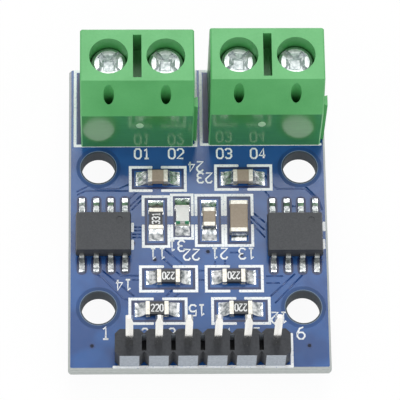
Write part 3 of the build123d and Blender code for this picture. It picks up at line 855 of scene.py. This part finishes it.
        # The strips are painted shade, laid like bare laminate under the mask.
        for low, high in self.painted_shade_strips:
            middle = Matrix.Translation(((low[0] + high[0]) / 2, (low[1] + high[1]) / 2, BOARD_TOP))
            strip = plate(high[0] - low[0], high[1] - low[1], self.film / 2, self.strip_corner)
            gather(gaps, strip, middle)
        width, length, corner = self.lead_gap
        for x, y in self.chip_places:
            for column, row in product(self.lead_columns, self.lead_rows):
                spot = Matrix.Translation((x + column * self.lead_pitch, y + row, BOARD_TOP))
                gather(gaps, plate(width, length, self.film / 2, corner), spot)
        publish("copper_gaps_and_painted_shade", gaps, MASK_OVER_GAP_AND_PAINTED_SHADE)
        publish("copper_seams", seams, MASK_OVER_SEAM)

    def vias(self) -> None:
        """Draws each via as a mask-covered ring with a dark mouth."""
        rings, mouths = bmesh.new(), bmesh.new()
        for x, y in self.via_places:
            place = Matrix.Translation((x, y, BOARD_TOP - self.sunk))
            gather(rings, flat_ring(self.via_radius, self.via_ring, self.film, self.via_sides), place)
            mouth = bmesh.new()
            bmesh.ops.create_circle(mouth, cap_ends=True, segments=self.via_sides, radius=self.mouth_radius)
            bmesh.ops.inset_region(mouth, faces=mouth.faces[:], thickness=self.mouth_rim,
                                   depth=-self.mouth_dip)
            gather(mouths, mouth, Matrix.Translation((x, y, BOARD_TOP + 2 * self.sunk)))
        publish("via_rings", rings, MASK_OVER_SEAM)
        publish("via_mouths", mouths, VIA_MOUTH)

    def build(self) -> None:
        """Dresses the board and adds its surface detail."""
        self.dress()
        self.hole_lips()
        self.copper_gaps_and_painted_shade()
        self.vias()


# Strokes of a round pen for each plain digit, in a box of one by one.
DIGITS: dict[str, tuple[tuple[Point, ...], ...]] = {
    "0": (((0.25, 0), (0.75, 0), (1, 0.2), (1, 0.8), (0.75, 1), (0.25, 1), (0, 0.8), (0, 0.2), (0.25, 0)),),
    "1": (((0.2, 0.8), (0.55, 1), (0.55, 0)), ((0.2, 0), (0.9, 0))),
    "2": (((0, 0.8), (0.25, 1), (0.75, 1), (1, 0.8), (1, 0.6), (0, 0), (1, 0)),),
    "3": (((0, 0.85), (0.25, 1), (0.75, 1), (1, 0.8), (1, 0.65), (0.75, 0.5), (0.35, 0.5)),
          ((0.75, 0.5), (1, 0.35), (1, 0.2), (0.75, 0), (0.25, 0), (0, 0.15))),
    "4": (((0.72, 0), (0.72, 1), (0, 0.28), (1, 0.28)),),
    "5": (((1, 1), (0.05, 1), (0, 0.5), (0.3, 0.62), (0.75, 0.62), (1, 0.42), (1, 0.2), (0.75, 0),
           (0.25, 0), (0, 0.15)),),
    "6": (((0.85, 1), (0.35, 0.9), (0, 0.5), (0, 0.2), (0.25, 0), (0.75, 0), (1, 0.2), (1, 0.38),
           (0.75, 0.55), (0.25, 0.55), (0, 0.4)),),
}


@dataclass(frozen=True)
class Label:
    """A plain printed number: its text, centre, height and turn in degrees."""

    text: str
    centre: Point
    height: float
    turn: float = 180.0


@dataclass(frozen=True)
class ScreenPrint:
    """The white print: part outlines, lines round the terminals and header, and plain numbers."""

    line: float = 0.25
    film: float = 0.015
    sunk: float = 0.002
    layer_step: float = 0.0008
    corner_share: float = 0.3
    end_share: float = 0.35
    pen: float = 0.19
    digit_width: float = 0.58
    digit_step: float = 0.8
    strokes: tuple[tuple[Point, Point], ...] = (
        ((-11.1, 8.92), (-11.1, 16.35)),
        ((-11.1, 8.92), (-0.25, 8.92)),
        ((-11.1, 16.35), (-0.25, 16.35)),
        ((-0.25, 8.92), (-0.25, 16.35)),
        ((0.22, 9.02), (10.9, 9.02)),
        ((0.22, 9.02), (0.22, 16.35)),
        ((0.22, 16.35), (10.9, 16.35)),
        ((-7.64, -12.3), (7.76, -12.3)),
        ((7.88, -12.3), (7.88, -9.3)),
        ((-5.98, 1.27), (-5.98, 0.6)),
        ((-5.98, -0.37), (-5.98, -1.1)),
        ((11.02, 1.3), (11.02, 0.63)),
        ((10.97, -0.39), (10.97, -1.11)),
    )
    labels: tuple[Label, ...] = (
        Label("01  02", (-3.57, 8.14), 0.95, 0.0), Label("03  04", (3.78, 8.14), 0.95, 0.0),
        Label("24", (-0.3, 6.85), 0.95), Label("23", (0.5, 5.75), 0.95), Label("11", (-3.74, -1.6), 1.0),
        Label("31", (-2.05, -0.86), 1.0), Label("22", (-0.77, -1.7), 1.0), Label("21", (1.72, -1.6), 1.0),
        Label("13", (4.13, -1.62), 1.0), Label("14", (-6.77, -4.57), 1.0), Label("15", (-0.32, -7.0), 1.0),
        Label("12", (6.86, -7.73), 1.0), Label("1", (-8.39, -9.1), 1.15, 0.0),
        Label("6", (8.71, -9.18), 1.1, 0.0), Label("2", (-4.93, -9.15), 0.9, 0.0),
        Label("3", (-2.57, -9.15), 0.9, 0.0), Label("4", (2.33, -9.15), 0.9, 0.0),
        Label("5", (4.86, -9.15), 0.9, 0.0),
    )

    def outline(self, mark: OutlineMark) -> Mesh:
        """Draws one broken rectangle.

        Args:
            mark: Its corners and gap.

        Returns:
            The mesh, in place, on the plane z = 0.
        """
        mesh = framed(mark.low, mark.high, self.line)
        across = 1 if mark.upright else 0
        normal = Vector((0, 1, 0)) if mark.upright else Vector((1, 0, 0))
        for end in mark.gap:
            whole = mesh.verts[:] + mesh.edges[:] + mesh.faces[:]
            bmesh.ops.bisect_plane(mesh, geom=whole, plane_co=normal * end, plane_no=normal)
        open_faces = [f for f in mesh.faces if mark.gap[0] < f.calc_center_median()[across] < mark.gap[1]]
        bmesh.ops.delete(mesh, geom=open_faces, context="FACES")
        corners = [v for v in mesh.verts if len(v.link_edges) == 2]
        bmesh.ops.bevel(mesh, geom=corners, offset=self.line * self.corner_share, segments=2, profile=0.5,
                        affect="VERTICES", material=-1)
        return raise_film(mesh, self.film)

    def stroke(self, start: Point, end: Point) -> Mesh:
        """Draws one straight line with rounded ends.

        Args:
            start: Where it starts.
            end: Where it ends.

        Returns:
            The mesh, in place, on the plane z = 0.
        """
        a, b = Vector((*start, 0)), Vector((*end, 0))
        mesh = plate((b - a).length + self.line, self.line, self.film, self.line * self.end_share)
        turn = Matrix.Rotation(math.atan2(b.y - a.y, b.x - a.x), 4, "Z")
        bmesh.ops.transform(mesh, matrix=Matrix.Translation((a + b) / 2) @ turn, verts=mesh.verts)
        return mesh

    def number(self, label: Label) -> Mesh:
        """Draws one plain number with a round pen.

        Args:
            label: What it reads, and where.

        Returns:
            The mesh, in place, on the plane z = 0.
        """
        height = label.height
        width = height * self.digit_width
        step = height * self.digit_step
        start = -step * (len(label.text) - 1) / 2 - width / 2
        runs = []
        for place, sign in enumerate(label.text):
            left = start + place * step
            for run in DIGITS.get(sign, ()):
                runs.append(tuple((left + x * width, (y - 0.5) * height) for x, y in run))
        mesh = traced(runs, self.pen, self.film)
        turn = Matrix.Rotation(math.radians(label.turn), 4, "Z")
        bmesh.ops.transform(mesh, matrix=Matrix.Translation((*label.centre, 0)) @ turn, verts=mesh.verts)
        return mesh

    def build(self) -> None:
        """Prints the outlines, lines and numbers on the board."""
        lines, numbers = bmesh.new(), bmesh.new()
        surface = BOARD_TOP - self.sunk
        # Films that cross lie a little over each other, so that no two faces share a plane.
        for layer, mark in enumerate(PART_OUTLINES):
            gather(lines, self.outline(mark), Matrix.Translation((0, 0, surface + layer * self.layer_step)))
        for layer, ends in enumerate(self.strokes):
            gather(lines, self.stroke(*ends), Matrix.Translation((0, 0, surface + layer * self.layer_step)))
        for label in self.labels:
            gather(numbers, self.number(label), Matrix.Translation((0, 0, surface)))
        publish("printed_outlines", lines, INK)
        publish("printed_numbers", numbers, INK)


@dataclass(frozen=True)
class ChipMarks:
    """Plain numbers on the tops of the chip resistors, and what shows through the lamp's lens."""

    printer: ScreenPrint = ScreenPrint(film=0.008, pen=0.14, digit_width=0.42, digit_step=0.6)
    print_height: float = 0.64
    print_sunk: float = 0.001
    mark_size: Triple = (0.36, 0.1, 0.46)
    mark_offset: float = 0.4
    mark_inset: float = 0.02
    die_size: Triple = (0.26, 0.26, 0.12)
    corner: float = 0.02
    under_lens: float = 0.01
    codes: tuple[tuple[str, str, float], ...] = (
        ("resistor_1", "331", 90.0), ("resistor_2", "220", 180.0), ("resistor_3", "220", 180.0),
        ("resistor_4", "220", 180.0), ("resistor_5", "220", 0.0),
    )

    def resistors(self) -> None:
        """Prints a plain number on each chip resistor."""
        codes = bmesh.new()
        for node, text, turn in self.codes:
            low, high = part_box(f"{node}_body")
            middle = (low + high) / 2 / MM
            label = Label(text, (middle.x, middle.y), self.print_height, turn)
            top = Matrix.Translation((0, 0, high.z / MM - self.print_sunk))
            gather(codes, self.printer.number(label), top)
        publish("resistor_numbers", codes, FAINT_INK)

    def lamp(self) -> None:
        """Lays the lamp's two green marks and its die under the lens."""
        low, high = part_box("lamp_lens")
        middle = (low + high) / 2 / MM
        floor = low.z / MM - self.under_lens
        marks = bmesh.new()
        for side in (-1, 1):
            x = middle.x + side * self.mark_offset
            spot = Matrix.Translation((x, low.y / MM + self.mark_inset, floor))
            gather(marks, plate(*self.mark_size, self.corner), spot)
        publish("lamp_marks", marks, LAMP_MARK)
        die = plate(*self.die_size, self.corner)
        bmesh.ops.translate(die, vec=(middle.x, middle.y, floor), verts=die.verts)
        publish("lamp_die", die, LAMP_DIE)

    def build(self) -> None:
        """Marks the resistors and the lamp."""
        self.resistors()
        self.lamp()


@dataclass(frozen=True)
class TerminalDetail:
    """The sheared gate scars on the terminal housings' faces towards the chips."""

    scar_radius: float = 0.34
    scar_rim: float = 0.119
    scar_stretch: float = 1.5
    scar_height: float = 0.04
    scar_rise: float = 4.4
    scar_gap: float = 0.005
    scar_sides: int = 14
    scar_places: Point = (-5.3, 5.5)

    def build(self) -> None:
        """Sets a scar on each housing."""
        scars = bmesh.new()
        for name, x in zip(("left", "right"), self.scar_places):
            low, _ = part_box(f"{name}_terminal_housing")
            scar = bmesh.new()
            bmesh.ops.create_circle(scar, cap_ends=True, segments=self.scar_sides, radius=self.scar_radius)
            bmesh.ops.inset_region(scar, faces=scar.faces[:], thickness=self.scar_rim,
                                   depth=self.scar_height, use_boundary=True)
            stretch = Matrix.Diagonal((1, self.scar_stretch, 1, 1))
            upright = Matrix.Rotation(math.radians(90), 4, "X") @ stretch
            spot = Matrix.Translation((x, low.y / MM - self.scar_gap, BOARD_TOP + self.scar_rise))
            gather(scars, scar, spot @ upright)
        publish("moulding_gate_scars", scars, GATE_SCAR)


@dataclass(frozen=True)
class Studio:
    """The pale floor, the soft lamps and the camera."""

    azimuth: float = 3.444
    elevation: float = 66.021
    roll: float = 2.957
    distance: float = 279.88
    target: Triple = (0.042, 3.58, 1.6)
    focal_pixels: float = 3143.05
    picture: float = 400.0
    sensor: float = 36.0
    near: float = 0.01
    far: float = 10.0
    floor_size: float = 900.0
    floor_drop: float = 0.02
    softboxes: tuple[tuple[str, Triple, float, float], ...] = (
        ("softbox_back", (0.03, 0.42, 0.55), 0.34, 1.75),
        ("softbox_left", (-0.5, -0.12, 0.42), 0.3, 0.7),
        ("softbox_right", (0.5, -0.12, 0.42), 0.3, 0.6),
        ("softbox_front", (0.0, -0.5, 0.42), 0.4, 0.8),
    )
    world_tone: str = "#ffffff"
    world_strength: float = 0.55

    def camera(self) -> None:
        """Places the camera where the photograph was taken from, for a square picture of 400 pixels."""
        a, e, r = (math.radians(v) for v in (self.azimuth, self.elevation, self.roll))
        back = Vector((-math.sin(a) * math.cos(e), -math.cos(a) * math.cos(e), math.sin(e)))
        right = (-back).cross(Vector((0, 0, 1))).normalized()
        up = right.cross(-back)
        level = right * math.cos(r) + up * math.sin(r)
        above = up * math.cos(r) - right * math.sin(r)
        data = bpy.data.cameras.new("camera")
        data.sensor_width = self.sensor
        data.lens = self.sensor * self.focal_pixels / self.picture
        data.clip_start = self.near
        data.clip_end = self.far
        seat = bpy.data.objects.new("camera", data)
        turn = Matrix((level, above, back)).transposed().to_4x4()
        seat.matrix_world = Matrix.Translation((Vector(self.target) + back * self.distance) * MM) @ turn
        bpy.context.scene.collection.objects.link(seat)
        bpy.context.scene.camera = seat

    def floor(self) -> None:
        """Lays the pale card under the lowest point of the object."""
        low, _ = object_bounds()
        mesh = bmesh.new()
        bmesh.ops.create_grid(mesh, x_segments=2, y_segments=2, size=self.floor_size / 2)
        bmesh.ops.translate(mesh, vec=(0, 0, low.z / MM - self.floor_drop), verts=mesh.verts)
        bmesh.ops.scale(mesh, vec=(MM,) * 3, verts=mesh.verts)
        data = bpy.data.meshes.new("floor")
        mesh.to_mesh(data)
        mesh.free()
        data.materials.append(PaleFloor("white_card").material())
        card = bpy.data.objects.new("floor", data)
        bpy.context.scene.collection.objects.link(card)
        card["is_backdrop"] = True

    def softbox(self, name: str, place: Triple, size: float, power: float) -> None:
        """Hangs a square soft lamp that faces the object.

        Args:
            name: The lamp's name.
            place: Where it hangs, in metres.
            size: Its side, in metres.
            power: Its power, in watts.
        """
        data = bpy.data.lights.new(name, "AREA")
        data.size = size
        data.energy = power
        lamp = bpy.data.objects.new(name, data)
        lamp.location = place
        lamp.rotation_mode = "QUATERNION"
        lamp.rotation_quaternion = Vector(place).to_track_quat("Z", "Y")
        bpy.context.scene.collection.objects.link(lamp)

    def light(self) -> None:
        """Lights the object from above and behind the terminals, with a plain bright room around it."""
        for lamp in self.softboxes:
            self.softbox(*lamp)
        world = bpy.data.worlds.new("room")
        world.use_nodes = True
        tree = world.node_tree
        tree.nodes.clear()
        room = add_node(tree, "ShaderNodeBackground",
                        {"Color": linear(self.world_tone), "Strength": self.world_strength})
        seen = add_node(tree, "ShaderNodeBackground", {"Color": linear(self.world_tone), "Strength": 1.0})
        skies = {0: rays_that_show(tree), 1: room.outputs["Background"], 2: seen.outputs["Background"]}
        both = add_node(tree, "ShaderNodeMixShader", links=skies)
        add_node(tree, "ShaderNodeOutputWorld", links={"Surface": both.outputs["Shader"]})
        bpy.context.scene.world = world

    def build(self) -> None:
        """Sets up the floor, lamps, camera and plain view."""
        self.floor()
        self.light()
        self.camera()
        bpy.context.scene.view_settings.view_transform = "Standard"


def main() -> None:
    """Dresses the CAD nodes, adds the pieces and sets up the studio."""
    logging.basicConfig(level=logging.INFO, format="%(name)s: %(message)s")
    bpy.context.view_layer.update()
    for part in (NodeDresser(), CircuitBoard(), ScreenPrint(), ChipMarks(), TerminalDetail(), Studio()):
        part.build()


if __name__ == "__main__":
    main()
